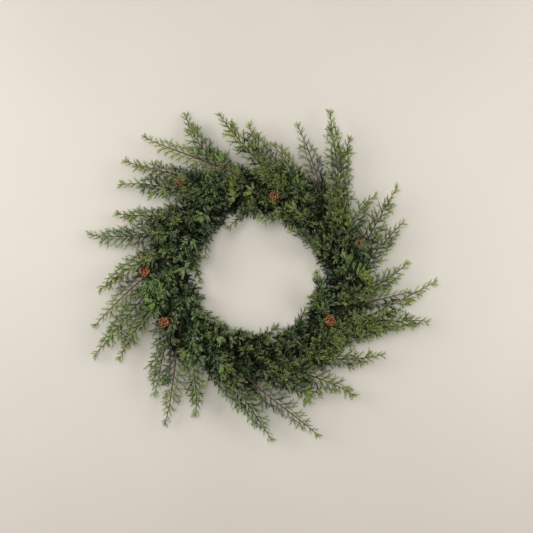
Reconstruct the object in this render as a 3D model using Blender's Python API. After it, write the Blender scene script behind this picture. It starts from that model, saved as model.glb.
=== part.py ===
"""Fresh evergreen wreath, lying on its back: sprigs of feathery juniper bound one after another onto a
wire ring, with small cones wired on top. Metres, +Z up. The back of the ring rests on Z = 0, the front
faces +Z, and the origin is below the middle of the wreath's overall box.

Seen from the front the sprigs sweep anticlockwise. Each one is bound on by its bare stem end and lies
over the stem ends of the sprigs ahead of it, like the blades of a fan.
"""

import math

import bmesh
import bpy
from mathutils import Vector

# Wire ring: three round rails on flat cross ties, a 12 inch form.
RING_CENTRE = Vector((-0.00904, -0.00015, 0.0))
RAIL_RADII = {"inner_rail": 0.126, "middle_rail": 0.143, "outer_rail": 0.160}
RAIL_WIRE_RADIUS = 0.0015
RAIL_FLATS = 44
RAIL_FACET = 0.0004  # how far a rail's flats lie inside its true circle
TIE_THICKNESS = 0.0015
TIE_WIDTH = 0.005
TIE_COUNT = 6
TIE_PLACE = math.radians(2.55)  # past a stem end, so that the ties lie between the binding's turns
GAP = 0.0003

# Sprigs: how far each one climbs as it sweeps round, and how the whole fan arches over.
STEM_HALF_BUTT = 0.0018
STEM_HALF_TIP = 0.0007
CLIMB = 0.055
ARCH_RADIUS = 0.160
ARCH_REACH = 0.150
ARCH_DROP = 0.022
OUTER_SPLAY = math.radians(38)
INNER_SPLAY = math.radians(-12)
BUTT_OVERHANG = math.radians(1.0)
BARE_LENGTH = 0.024
SHOOT_ANGLE = math.radians(44)
SHOOT_PAIRS = 4
SHOOT_MIDDLE = (0.0036, 0.0013)  # half-width and half-height halfway along a side shoot
SHOOT_TIP = (0.0010, 0.0008)
CURVE_EXCESS = 1.05  # a stem's length over the straight distance from its butt to its tip

# Binding wire: one turn over each stem end.
BINDING_RADIUS = 0.0005
BINDING_CROSSING = math.radians(3.0)
BINDING_BEND = 0.001
BINDING_SLACK = 0.0016  # how far each turn stands above the stem that it crosses, past the gap
BINDING_RAKE = 0.0013  # how much lower each turn crosses at the inner rail than at the outer one

# Cones: the scaly body's height and radius, and its stalk's radius.
CONE_HEIGHT = 0.022
CONE_RADIUS = 0.0105
STALK_RADIUS = 0.0011

# Each sprig: name, where it is bound on (degrees anticlockwise from +X), then its tip's distance from
# the ring's centre, the tip's bearing and heading in degrees, and half its width.
SPRIGS = [
    ("outer_sprig_01", 4, 0.252, 34, 24, 0.026),
    ("inner_sprig_01", 11, 0.100, 56, 152, 0.016),
    ("outer_sprig_02", 19, 0.318, 66, 94, 0.038),
    ("outer_sprig_03", 27, 0.295, 56, 72, 0.034),
    ("outer_sprig_04", 35, 0.276, 75, 115, 0.030),
    ("inner_sprig_02", 43, 0.102, 88, 186, 0.016),
    ("face_sprig_01", 51, 0.234, 83, 131, 0.028),
    ("outer_sprig_05", 60, 0.267, 93, 107, 0.034),
    ("outer_sprig_06", 68, 0.293, 103, 123, 0.034),
    ("inner_sprig_03", 76, 0.099, 122, 220, 0.016),
    ("outer_sprig_07", 84, 0.317, 129, 152, 0.034),
    ("outer_sprig_08", 92, 0.314, 114, 106, 0.036),
    ("outer_sprig_09", 100, 0.311, 139, 160, 0.032),
    ("face_sprig_02", 107, 0.235, 143, 205, 0.026),
    ("outer_sprig_10", 115, 0.291, 146, 186, 0.030),
    ("inner_sprig_04", 122, 0.098, 160, 260, 0.016),
    ("outer_sprig_11", 130, 0.272, 156, 171, 0.028),
    ("outer_sprig_12", 139, 0.307, 166, 167, 0.038),
    ("inner_sprig_05", 146, 0.101, 186, 284, 0.016),
    ("outer_sprig_13", 154, 0.279, 185, 222, 0.032),
    ("outer_sprig_14", 162, 0.301, 197, 228, 0.030),
    ("outer_sprig_15", 171, 0.321, 206, 229, 0.036),
    ("outer_sprig_16", 180, 0.284, 211, 244, 0.030),
    ("inner_sprig_06", 188, 0.104, 232, 330, 0.016),
    ("outer_sprig_17", 196, 0.276, 229, 256, 0.042),
    ("outer_sprig_18", 205, 0.309, 238, 253, 0.034),
    ("outer_sprig_19", 214, 0.269, 246, 260, 0.034),
    ("inner_sprig_07", 222, 0.102, 264, 2, 0.016),
    ("face_sprig_03", 230, 0.236, 263, 304, 0.028),
    ("outer_sprig_20", 239, 0.291, 275, 301, 0.034),
    ("outer_sprig_21", 248, 0.302, 291, 317, 0.034),
    ("inner_sprig_08", 257, 0.097, 292, 32, 0.016),
    ("face_sprig_04", 266, 0.236, 298, 338, 0.034),
    ("outer_sprig_22", 276, 0.272, 309, 324, 0.034),
    ("inner_sprig_09", 285, 0.103, 326, 64, 0.016),
    ("outer_sprig_23", 293, 0.262, 328, 15, 0.028),
    ("outer_sprig_24", 302, 0.259, 340, 3, 0.032),
    ("outer_sprig_25", 310, 0.313, 345, 351, 0.036),
    ("outer_sprig_26", 317, 0.316, 358, 26, 0.034),
    ("inner_sprig_10", 323, 0.104, 4, 102, 0.016),
    ("outer_sprig_27", 331, 0.272, 354, 15, 0.028),
    ("outer_sprig_28", 339, 0.267, 5, 50, 0.030),
    ("outer_sprig_29", 347, 0.275, 20, 42, 0.034),
    ("outer_sprig_30", 356, 0.291, 32, 57, 0.034),
]

# Each cone: name, the sprig it is wired to, how far along that stem, its lean in degrees, the way it
# leans in degrees anticlockwise from the stem's heading, and the length of its stalk.
CONES = [
    ("cone_01", "outer_sprig_06", 0.12, 45, 90, 0.008),
    ("cone_02", "outer_sprig_30", 0.46, 30, 135, 0.012),
    ("cone_03", "outer_sprig_14", 0.32, 30, 315, 0.008),
    ("cone_04", "outer_sprig_17", 0.28, 45, 270, 0.004),
    ("cone_05", "inner_sprig_10", 0.24, 45, 225, 0.012),
    ("cone_06", "outer_sprig_09", 0.52, 30, 90, 0.004),
]

RAIL_HEIGHT = TIE_THICKNESS + GAP + RAIL_WIRE_RADIUS
STEM_HEIGHT = RAIL_HEIGHT + RAIL_WIRE_RADIUS + GAP + STEM_HALF_BUTT


def clear_scene():
    for thing in list(bpy.data.objects):
        bpy.data.objects.remove(thing, do_unlink=True)


def make_material(name, colour, roughness, metallic=0.0):
    material = bpy.data.materials.new(name)
    material.use_nodes = True
    shader = material.node_tree.nodes["Principled BSDF"]
    shader.inputs["Base Color"].default_value = (*colour, 1.0)
    shader.inputs["Roughness"].default_value = roughness
    shader.inputs["Metallic"].default_value = metallic
    return material


def add_object(name, mesh, material, collection):
    thing = bpy.data.objects.new(name, mesh)
    mesh.materials.clear()
    mesh.materials.append(material)
    collection.objects.link(thing)
    return thing


def take_active(name, material, collection):
    """Names the object that a primitive operator has just made and files it in the collection."""
    thing = bpy.context.object
    thing.name = name
    thing.data.materials.append(material)
    for owner in list(thing.users_collection):
        owner.objects.unlink(thing)
    collection.objects.link(thing)
    return thing


def polar(radius, angle):
    return Vector((radius * math.cos(angle), radius * math.sin(angle)))


def ray(angle):
    return Vector((math.cos(angle), math.sin(angle)))


def arch(radius):
    """How far the fan of sprigs has dropped at a distance from the ring's centre."""
    return -ARCH_DROP * ((radius - ARCH_RADIUS) / ARCH_REACH) ** 2


def on_ramp(place, bound_at):
    """Lifts a plan point onto a sprig's ramp, which climbs as it sweeps away from where it is bound.

    Ramps of different sprigs differ by a constant height, so sprigs cross without touching.
    """
    bearing = math.atan2(place.y, place.x)
    swept = (bearing - bound_at + math.pi) % math.tau - math.pi
    height = STEM_HEIGHT + CLIMB * max(swept, 0.0) + arch(place.length) - arch(RAIL_RADII["middle_rail"])
    return RING_CENTRE + Vector((place.x, place.y, height))


class Sprig:
    """A sprig's stem as a plan curve from the ring to the tip, laid on its own ramp."""

    def __init__(self, name, bound, reach, bearing, heading, half_width):
        self.name = name
        self.half_width = half_width
        self.bound_at = math.radians(bound)
        splay = INNER_SPLAY if name.startswith("inner") else OUTER_SPLAY
        start = polar(RAIL_RADII["middle_rail"], self.bound_at - BUTT_OVERHANG)
        tip = polar(reach, math.radians(bearing))
        third = (tip - start).length / 3
        leaving = ray(self.bound_at + math.pi / 2 - splay)
        arriving = ray(math.radians(heading))
        self.controls = (start, start + leaving * third, tip - arriving * third, tip)
        self.length = 3 * third * CURVE_EXCESS

    def plan(self, t):
        a, b, c, d = self.controls
        s = 1 - t
        return a * s**3 + b * 3 * s * s * t + c * 3 * s * t * t + d * t**3

    def heading(self, t):
        a, b, c, d = self.controls
        s = 1 - t
        slope = (b - a) * s * s + (c - b) * 2 * s * t + (d - c) * t * t
        return slope.normalized()

    def half_thickness(self, t):
        return STEM_HALF_BUTT + (STEM_HALF_TIP - STEM_HALF_BUTT) * t

    def point(self, t):
        return on_ramp(self.plan(t), self.bound_at)

    def stations(self):
        """The bare stem end, then an even step for each pair of shoots and each space between them."""
        first = BARE_LENGTH / self.length
        steps = 2 * SHOOT_PAIRS
        return [0.0] + [first + (1 - first) * k / steps for k in range(steps + 1)]


def carry_on(bm, face, section_from, section_to):
    """Extrudes a four-sided face so that its corners move from one section onto the next.

    A section is its centre, its half-width vector and its half-height vector.
    """
    centre, across, up = section_from
    next_centre, next_across, next_up = section_to
    made = bmesh.ops.extrude_discrete_faces(bm, faces=[face])["faces"][0]
    for corner in made.verts:
        offset = corner.co - centre
        side = math.copysign(1, offset.dot(across))
        level = math.copysign(1, (offset - across * side).dot(up))
        corner.co = next_centre + next_across * side + next_up * level
    return made


def stem_section(sprig, t):
    half = sprig.half_thickness(t)
    heading = sprig.heading(t)
    across = Vector((-heading.y, heading.x, 0.0)) * half
    return sprig.point(t), across, Vector((0.0, 0.0, half))


def shoot_section(sprig, root, direction, distance, half_sizes):
    """A section of a side shoot, square to it, at a distance from where it leaves the stem."""
    half_width, half_height = half_sizes
    across = Vector((-direction.y, direction.x, 0.0)) * half_width
    centre = on_ramp(root + direction * distance, sprig.bound_at)
    return centre, across, Vector((0.0, 0.0, half_height))


def grow_shoot(bm, sprig, start, end, side):
    """Draws a side shoot out of the stem's flank between two stations."""
    middle = (start + end) / 2
    root = sprig.plan(middle)
    heading = sprig.heading(middle)
    flank = Vector((-heading.y, heading.x)) * side
    expected = on_ramp(root, sprig.bound_at) + flank.to_3d() * sprig.half_thickness(middle)
    face = min(bm.faces, key=lambda f: (f.calc_center_median() - expected).length)
    direction = (heading * math.cos(SHOOT_ANGLE) + flank * math.sin(SHOOT_ANGLE)).normalized()
    fullness = math.sin(math.pi * middle**0.75)
    length = sprig.half_width * fullness / math.sin(SHOOT_ANGLE)
    along = (sprig.point(start) - sprig.point(end)) / 2 * side
    base = face.calc_center_median(), along, Vector((0.0, 0.0, sprig.half_thickness(middle)))
    halfway = shoot_section(sprig, root, direction, length / 2, SHOOT_MIDDLE)
    tip = shoot_section(sprig, root, direction, length, SHOOT_TIP)
    face = carry_on(bm, face, base, halfway)
    carry_on(bm, face, halfway, tip)


def make_sprig(sprig, material, collection):
    """One sprig: a tapering stem drawn out section by section, with pairs of side shoots."""
    stations = sprig.stations()
    bm = bmesh.new()
    bmesh.ops.create_cube(bm, size=1.0)
    first, second = stem_section(sprig, stations[0]), stem_section(sprig, stations[1])
    for corner in bm.verts:
        centre, across, up = first if corner.co.x < 0 else second
        side, level = math.copysign(1, corner.co.y), math.copysign(1, corner.co.z)
        corner.co = centre + across * side + up * level
    bm.faces.ensure_lookup_table()
    face = min(bm.faces, key=lambda f: (f.calc_center_median() - second[0]).length)
    for start, end in zip(stations[1:-1], stations[2:]):
        face = carry_on(bm, face, stem_section(sprig, start), stem_section(sprig, end))
    for k in range(SHOOT_PAIRS):
        start, end = stations[2 * k + 1], stations[2 * k + 2]
        for side in (1, -1):
            grow_shoot(bm, sprig, start, end, side)
    bmesh.ops.recalc_face_normals(bm, faces=bm.faces)
    mesh = bpy.data.meshes.new(sprig.name)
    bm.to_mesh(mesh)
    bm.free()
    return add_object(sprig.name, mesh, material, collection)


def make_rails(material, collection):
    for name, radius in RAIL_RADII.items():
        bpy.ops.mesh.primitive_torus_add(
            location=RING_CENTRE + Vector((0, 0, RAIL_HEIGHT)),
            major_radius=radius,
            minor_radius=RAIL_WIRE_RADIUS,
            major_segments=RAIL_FLATS,
            minor_segments=6,
        )
        take_active(name, material, collection).data.shade_smooth()


def make_ties(sprigs, material, collection):
    """Flat strips under the rails, each below the binding wire's crossing at one stem end."""
    inner = min(RAIL_RADII.values()) - RAIL_WIRE_RADIUS
    outer = max(RAIL_RADII.values()) + RAIL_WIRE_RADIUS
    for k in range(TIE_COUNT):
        angle = sprigs[round(k * len(sprigs) / TIE_COUNT)].bound_at + TIE_PLACE
        middle = polar((inner + outer) / 2, angle).to_3d() + Vector((0, 0, TIE_THICKNESS / 2))
        bpy.ops.mesh.primitive_cube_add(size=1.0, location=RING_CENTRE + middle)
        tie = take_active(f"cross_tie_{k + 1}", material, collection)
        tie.scale = (outer - inner, TIE_WIDTH, TIE_THICKNESS)
        tie.rotation_euler = (0.0, 0.0, angle)


def make_binding_wire(sprigs, material, collection):
    """One long wire wound round the rails, with a turn over each sprig's stem end."""
    clearance = GAP + BINDING_RADIUS
    inside = min(RAIL_RADII.values()) - RAIL_WIRE_RADIUS - clearance - RAIL_FACET
    outside = max(RAIL_RADII.values()) + RAIL_WIRE_RADIUS + clearance
    low = RAIL_HEIGHT - RAIL_WIRE_RADIUS - clearance
    high = STEM_HEIGHT + CLIMB * BINDING_CROSSING + STEM_HALF_BUTT + clearance + BINDING_SLACK
    bend, rake = BINDING_BEND, BINDING_RAKE
    turn = [  # radius, height, degrees past the stem end
        (inside, low + bend, 0.8),
        (inside, high - rake - bend, 1.6),
        (inside + bend, high - rake, 1.8),
        (outside - bend, high, 4.2),
        (outside, high - bend, 4.4),
        (outside, low + bend, 4.8),
        (outside - bend, low, 5.0),
        (inside + bend, low, 6.6),
    ]
    route = []
    for sprig in sprigs:
        for radius, height, past in turn:
            place = polar(radius, sprig.bound_at + math.radians(past))
            route.append(RING_CENTRE + Vector((place.x, place.y, height)))
    curve = bpy.data.curves.new("binding_wire", "CURVE")
    curve.dimensions = "3D"
    curve.bevel_depth = BINDING_RADIUS
    curve.bevel_resolution = 0
    curve.use_fill_caps = True
    spline = curve.splines.new("POLY")
    spline.points.add(len(route) - 1)
    for point, place in zip(spline.points, route):
        point.co = (*place, 1.0)
    wire = bpy.data.objects.new("binding_wire", curve)
    curve.materials.append(material)
    collection.objects.link(wire)


def make_cone(name, sprig, along, lean, turned, stalk, material, collection):
    """A scaly cone on a stalk that stands on its sprig's stem."""
    profile = [
        (0.0, stalk + CONE_HEIGHT),
        (CONE_RADIUS * 0.45, stalk + CONE_HEIGHT * 0.93),
        (CONE_RADIUS * 0.85, stalk + CONE_HEIGHT * 0.68),
        (CONE_RADIUS, stalk + CONE_HEIGHT * 0.42),
        (CONE_RADIUS * 0.82, stalk + CONE_HEIGHT * 0.2),
        (CONE_RADIUS * 0.4, stalk + CONE_HEIGHT * 0.09),
        (STALK_RADIUS, stalk),
        (STALK_RADIUS, 0.0),
        (0.0, 0.0),
    ]
    bm = bmesh.new()
    corners = [bm.verts.new((radius, 0.0, height)) for radius, height in profile]
    edges = [bm.edges.new(pair) for pair in zip(corners, corners[1:])]
    bmesh.ops.spin(
        bm, geom=corners + edges, cent=(0, 0, 0), axis=(0, 0, 1), angle=math.tau, steps=10, use_merge=True
    )
    bmesh.ops.remove_doubles(bm, verts=bm.verts, dist=0.00005)
    bmesh.ops.recalc_face_normals(bm, faces=bm.faces)
    mesh = bpy.data.meshes.new(name)
    bm.to_mesh(mesh)
    bm.free()
    mesh.shade_smooth()
    mesh.set_sharp_from_angle(angle=math.radians(50))
    cone = add_object(name, mesh, material, collection)
    tilt = math.radians(lean)
    rise = sprig.half_thickness(along) + GAP + STALK_RADIUS * math.sin(tilt)
    cone.location = sprig.point(along) + Vector((0, 0, rise))
    heading = sprig.heading(along)
    cone.rotation_euler = (0.0, tilt, math.atan2(heading.y, heading.x) + math.radians(turned))


def main():
    clear_scene()
    collection = bpy.data.collections.new("evergreen_wreath")
    bpy.context.scene.collection.children.link(collection)
    wire_paint = make_material("green_enamelled_wire", (0.035, 0.07, 0.04), 0.45, 0.3)
    foliage = make_material("juniper_foliage", (0.06, 0.12, 0.05), 0.65)
    scales = make_material("cone_scales", (0.25, 0.08, 0.03), 0.7)
    sprigs = [Sprig(*row) for row in SPRIGS]
    by_name = {sprig.name: sprig for sprig in sprigs}
    make_rails(wire_paint, collection)
    make_ties(sprigs, wire_paint, collection)
    make_binding_wire(sprigs, wire_paint, collection)
    for sprig in sprigs:
        make_sprig(sprig, foliage, collection)
    for name, carrier, along, lean, turned, stalk in CONES:
        make_cone(name, by_name[carrier], along, lean, turned, stalk, scales, collection)


main()
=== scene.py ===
"""Fresh evergreen wreath lying on its back: juniper sprigs wired onto a ring, with small cones."""

import math
import random

import bmesh
import bpy
import numpy as np
from mathutils import Matrix, Vector
from mathutils.kdtree import KDTree


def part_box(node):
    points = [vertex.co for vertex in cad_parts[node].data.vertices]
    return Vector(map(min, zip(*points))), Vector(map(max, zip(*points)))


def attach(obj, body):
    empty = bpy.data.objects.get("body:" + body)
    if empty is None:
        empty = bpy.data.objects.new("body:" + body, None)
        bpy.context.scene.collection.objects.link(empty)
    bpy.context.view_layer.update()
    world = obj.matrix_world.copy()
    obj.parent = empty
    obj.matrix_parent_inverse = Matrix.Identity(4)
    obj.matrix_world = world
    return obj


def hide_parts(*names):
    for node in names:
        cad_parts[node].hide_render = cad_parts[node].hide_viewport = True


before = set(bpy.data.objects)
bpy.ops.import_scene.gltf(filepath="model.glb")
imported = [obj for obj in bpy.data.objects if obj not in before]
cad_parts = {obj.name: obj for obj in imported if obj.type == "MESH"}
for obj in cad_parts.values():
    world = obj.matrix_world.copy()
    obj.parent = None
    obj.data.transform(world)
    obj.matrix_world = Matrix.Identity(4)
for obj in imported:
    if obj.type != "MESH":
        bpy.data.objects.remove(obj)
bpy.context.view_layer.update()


# ---- Wire ring and binding wire -------------------------------------------------------------
# Three round steel rails on flat steel ties, spot welded and then dipped in green enamel, with one
# long enamelled florist's wire wound over every stem end. They keep their CAD shapes.


def linear(hex_colour):
    """An sRGB hex colour as linear RGBA."""
    parts = [int(hex_colour[k : k + 2], 16) / 255 for k in (1, 3, 5)]
    return tuple(p / 12.92 if p <= 0.04045 else ((p + 0.055) / 1.055) ** 2.4 for p in parts) + (1.0,)


def new_material(name):
    material = bpy.data.materials.new(name)
    material.use_nodes = True
    return material, material.node_tree.nodes["Principled BSDF"]


def add_node(owner, kind, inputs=None, stops=None, **settings):
    """Adds a node to a material or a world, with its settings, its links or values by socket, and a
    colour ramp's stops."""
    made = owner.node_tree.nodes.new(kind)
    for name, value in settings.items():
        setattr(made, name, value)
    for name, value in (inputs or {}).items():
        if isinstance(value, bpy.types.NodeSocket):
            owner.node_tree.links.new(value, made.inputs[name])
        else:
            made.inputs[name].default_value = value
    for k, (place, colour) in enumerate(stops or ()):
        elements = made.color_ramp.elements
        stop = elements[k] if k < 2 else elements.new(place)
        stop.position = place
        stop.color = linear(colour)
    return made


def noise(material, place, scale, detail):
    inputs = {"Vector": place, "Scale": scale, "Detail": detail}
    return add_node(material, "ShaderNodeTexNoise", inputs).outputs["Fac"]


def ramp(owner, value, stops):
    """A colour that follows a value. The first two stops are the ramp's own ends, the others follow."""
    return add_node(owner, "ShaderNodeValToRGB", {"Fac": value}, stops).outputs["Color"]


def connect(owner, output, shader, name):
    owner.node_tree.links.new(output, shader.inputs[name])


def green_enamelled_wire():
    """Dipped enamel over steel wire: dark green, half glossy, a little uneven where it ran."""
    material, shader = new_material("green_enamelled_wire")
    place = add_node(material, "ShaderNodeTexCoord").outputs["Object"]
    runs = noise(material, place, 180.0, 2.0)
    colour = ramp(material, runs, [(0.3, "#16261A"), (0.7, "#2A4430")])
    connect(material, colour, shader, "Base Color")
    bump = add_node(material, "ShaderNodeBump", {"Height": runs, "Strength": 0.2, "Distance": 0.0002})
    connect(material, bump.outputs["Normal"], shader, "Normal")
    shader.inputs["Roughness"].default_value = 0.42
    return material


ring_wire = green_enamelled_wire()
for name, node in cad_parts.items():
    if name.endswith("_rail") or name.startswith("cross_tie") or name == "binding_wire":
        node.data.materials.clear()
        node.data.materials.append(ring_wire)


# ---- Sprigs ---------------------------------------------------------------------------------
# Cut juniper: a woody stem with side shoots left and right, and each shoot set all round with short
# pointed needles. Old needles are dark and bluish, the year's growth at the tips is yellow green.

low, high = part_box("middle_rail")
RING_CENTRE = Vector(((low.x + high.x) / 2, (low.y + high.y) / 2, 0.0))
RING_RADIUS = 0.143
OPENING_RADIUS = 0.105  # the collar's shoots stay out of the opening
LOWEST_NEEDLE = 0.0006
HIGHEST_NEEDLE = 0.0690

# Each sprig: name, where it is bound on (degrees anticlockwise from +X), then its tip's distance from
# the ring's centre, the tip's bearing and heading in degrees, and half its width.
SPRIGS = [
    ("outer_sprig_01", 4, 0.252, 34, 24, 0.026),
    ("inner_sprig_01", 11, 0.100, 56, 152, 0.016),
    ("outer_sprig_02", 19, 0.318, 66, 94, 0.038),
    ("outer_sprig_03", 27, 0.295, 56, 72, 0.034),
    ("outer_sprig_04", 35, 0.276, 75, 115, 0.030),
    ("inner_sprig_02", 43, 0.102, 88, 186, 0.016),
    ("face_sprig_01", 51, 0.234, 83, 131, 0.028),
    ("outer_sprig_05", 60, 0.267, 93, 107, 0.034),
    ("outer_sprig_06", 68, 0.293, 103, 123, 0.034),
    ("inner_sprig_03", 76, 0.099, 122, 220, 0.016),
    ("outer_sprig_07", 84, 0.317, 129, 152, 0.034),
    ("outer_sprig_08", 92, 0.314, 114, 106, 0.036),
    ("outer_sprig_09", 100, 0.311, 139, 160, 0.032),
    ("face_sprig_02", 107, 0.235, 143, 205, 0.026),
    ("outer_sprig_10", 115, 0.291, 146, 186, 0.030),
    ("inner_sprig_04", 122, 0.098, 160, 260, 0.016),
    ("outer_sprig_11", 130, 0.272, 156, 171, 0.028),
    ("outer_sprig_12", 139, 0.307, 166, 167, 0.038),
    ("inner_sprig_05", 146, 0.101, 186, 284, 0.016),
    ("outer_sprig_13", 154, 0.279, 185, 222, 0.032),
    ("outer_sprig_14", 162, 0.301, 197, 228, 0.030),
    ("outer_sprig_15", 171, 0.321, 206, 229, 0.036),
    ("outer_sprig_16", 180, 0.284, 211, 244, 0.030),
    ("inner_sprig_06", 188, 0.104, 232, 330, 0.016),
    ("outer_sprig_17", 196, 0.276, 229, 256, 0.042),
    ("outer_sprig_18", 205, 0.309, 238, 253, 0.034),
    ("outer_sprig_19", 214, 0.269, 246, 260, 0.034),
    ("inner_sprig_07", 222, 0.102, 264, 2, 0.016),
    ("face_sprig_03", 230, 0.236, 263, 304, 0.028),
    ("outer_sprig_20", 239, 0.291, 275, 301, 0.034),
    ("outer_sprig_21", 248, 0.302, 291, 317, 0.034),
    ("inner_sprig_08", 257, 0.097, 292, 32, 0.016),
    ("face_sprig_04", 266, 0.236, 298, 338, 0.034),
    ("outer_sprig_22", 276, 0.272, 309, 324, 0.034),
    ("inner_sprig_09", 285, 0.103, 326, 64, 0.016),
    ("outer_sprig_23", 293, 0.262, 328, 15, 0.028),
    ("outer_sprig_24", 302, 0.259, 340, 3, 0.032),
    ("outer_sprig_25", 310, 0.313, 345, 351, 0.036),
    ("outer_sprig_26", 317, 0.316, 358, 26, 0.034),
    ("inner_sprig_10", 323, 0.104, 4, 102, 0.016),
    ("outer_sprig_27", 331, 0.272, 354, 15, 0.028),
    ("outer_sprig_28", 339, 0.267, 5, 50, 0.030),
    ("outer_sprig_29", 347, 0.275, 20, 42, 0.034),
    ("outer_sprig_30", 356, 0.291, 32, 57, 0.034),
]

# Sprigs that lie on top with their stems showing.
SHOWN_STEMS = {
    "outer_sprig_04",
    "outer_sprig_07",
    "outer_sprig_14",
    "outer_sprig_18",
    "outer_sprig_21",
    "outer_sprig_27",
}

# Sprigs with more of the year's pale growth on them.
PALE = {
    "outer_sprig_23",
    "outer_sprig_24",
    "outer_sprig_25",
    "outer_sprig_26",
    "outer_sprig_27",
    "outer_sprig_28",
    "inner_sprig_09",
    "inner_sprig_10",
    "outer_sprig_01",
    "outer_sprig_02",
    "outer_sprig_05",
    "outer_sprig_07",
    "outer_sprig_08",
}

# Sprigs cut from a bluer bush.
BLUISH = {
    "outer_sprig_10",
    "outer_sprig_12",
    "outer_sprig_15",
    "outer_sprig_16",
    "outer_sprig_17",
    "outer_sprig_19",
    "outer_sprig_20",
    "inner_sprig_04",
    "inner_sprig_05",
    "inner_sprig_06",
    "inner_sprig_07",
    "face_sprig_02",
    "face_sprig_03",
}

# Sprigs whose shoots lean over the cone beside them, and how many do.
SHELTERS = {
    "outer_sprig_06": ("cone_01", 2),
    "outer_sprig_30": ("cone_02", 8),
    "outer_sprig_09": ("cone_06", 7),
}

# Tufts: distance from the ring's centre, bearing in degrees, how far they spread, how far they stand
# above the stem, and how young they are.
TUFTS = [
    (0.208, 106, 0.020, 0.008, 0.55),
    (0.142, 130, 0.010, 0.022, 0.62),
    (0.136, 151, 0.009, 0.022, 0.62),
    (0.149, 92, 0.010, 0.022, 0.62),
    (0.146, 104, 0.009, 0.022, 0.55),
    (0.137, 75, 0.009, 0.022, 0.62),
    (0.137, 59, 0.009, 0.022, 0.55),
    (0.155, 11, 0.011, 0.022, 0.65),
    (0.178, 0, 0.024, 0.020, 0.78),
    (0.130, 173, 0.010, 0.022, 0.62),
    (0.165, 188, 0.012, 0.022, 0.62),
    (0.185, 194, 0.009, 0.020, 0.62),
    (0.125, 236, 0.012, 0.022, 0.68),
    (0.113, 243, 0.009, 0.022, 0.62),
    (0.164, 248, 0.011, 0.022, 0.65),
    (0.178, 227, 0.009, 0.020, 0.62),
    (0.222, 292, 0.018, 0.016, 0.60),
]


STEM_HEIGHT = 0.0069  # where it is bound on
STEM_RADII = (0.0018, 0.0006)  # at the bound end and at the tip
CLIMB = 0.055  # how far a stem climbs while it sweeps one radian round the ring
ARCH_RADIUS = 0.160  # where the fan of sprigs stands highest
ARCH_REACH = 0.150
ARCH_DROP = 0.022  # how far it has dropped at that reach from there
OUTER_SPLAY = math.radians(38)  # how far a stem leaves the ring's own direction, outwards
INNER_SPLAY = math.radians(-12)
BUTT_OVERHANG = math.radians(1.0)
CURVE_EXCESS = 1.05  # a stem's length over the straight line from end to end


def polar(radius, angle):
    return Vector((radius * math.cos(angle), radius * math.sin(angle)))


def arch(radius):
    """How far the fan of sprigs has dropped at a distance from the ring's centre."""
    return -ARCH_DROP * ((radius - ARCH_RADIUS) / ARCH_REACH) ** 2


def on_ramp(place, bound_at):
    """Lifts a plan point onto a sprig's ramp, which climbs as it sweeps away from where it is bound."""
    swept = (math.atan2(place.y, place.x) - bound_at + math.pi) % math.tau - math.pi
    height = STEM_HEIGHT + CLIMB * max(swept, 0.0) + arch(place.length) - arch(RING_RADIUS)
    return RING_CENTRE + Vector((place.x, place.y, height))


class Sprig:
    """A sprig's stem as a plan curve from the ring to the tip, laid on its own ramp."""

    def __init__(self, name, bound, reach, bearing, heading, half_width):
        self.name = name
        self.half_width = half_width
        self.bound_at = math.radians(bound)
        splay = INNER_SPLAY if name.startswith("inner") else OUTER_SPLAY
        start = polar(RING_RADIUS, self.bound_at - BUTT_OVERHANG)
        tip = polar(reach, math.radians(bearing))
        third = (tip - start).length / 3
        leaving = polar(third, self.bound_at + math.pi / 2 - splay)
        arriving = polar(third, math.radians(heading))
        self.controls = (start, start + leaving, tip - arriving, tip)
        self.length = 3 * third * CURVE_EXCESS

    def plan(self, t):
        a, b, c, d = self.controls
        s = 1 - t
        return a * s**3 + b * 3 * s * s * t + c * 3 * s * t * t + d * t**3

    def heading(self, t):
        a, b, c, d = self.controls
        s = 1 - t
        return ((b - a) * s * s + (c - b) * 2 * s * t + (d - c) * t * t).normalized()

    def radius(self, t):
        return STEM_RADII[0] + (STEM_RADII[1] - STEM_RADII[0]) * t

    def point(self, t):
        return on_ramp(self.plan(t), self.bound_at)

    def nearest(self, place):
        """How far along the stem a plan point lies."""
        return min((k / 100 for k in range(101)), key=lambda t: (self.plan(t) - place).length)


def aimed(origin, direction, size=1.0, roll=0.0):
    """The matrix that carries a shape drawn along +X to an origin, pointing in a direction, with its
    +Z side kept as near upwards as it can be and then rolled."""
    along = direction.normalized()
    side = Vector((0, 0, 1)).cross(along)
    side = side.normalized() if side.length > 1e-6 else Vector((0, 1, 0))
    turn = Matrix((along, side, along.cross(side))).transposed().to_4x4()
    return Matrix.Translation(origin) @ turn @ Matrix.Rotation(roll, 4, "X") @ Matrix.Scale(size, 4)


def plant(bm, mesh, matrix):
    """Adds a copy of a mesh, moved by the matrix."""
    copy = mesh.copy()
    copy.transform(matrix)
    bm.from_mesh(copy)
    bpy.data.meshes.remove(copy)


def new_layers(bm):
    """The attributes that the foliage's colours follow: growth is 0 on the oldest needles and 1 on the
    youngest, and out runs from 0 at a needle's foot, or a stem's, to 1 at its tip."""
    return bm.verts.layers.float.new("growth"), bm.verts.layers.float.new("out")


def finished(bm, name):
    mesh = bpy.data.meshes.new(name)
    bm.to_mesh(mesh)
    bm.free()
    mesh.shade_smooth()
    return mesh


NEEDLE_LENGTH = 0.0086
NEEDLE_HALF_WIDTH = 0.00056
NEEDLE_SIDES = 3
NEEDLE_FOOT = 0.6  # how wide its foot is, over its greatest width
NEEDLE_WAIST = 0.5  # how far along it is widest
NEEDLE_HOOK = 0.05  # how far its tip bends aside, over its length


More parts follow.
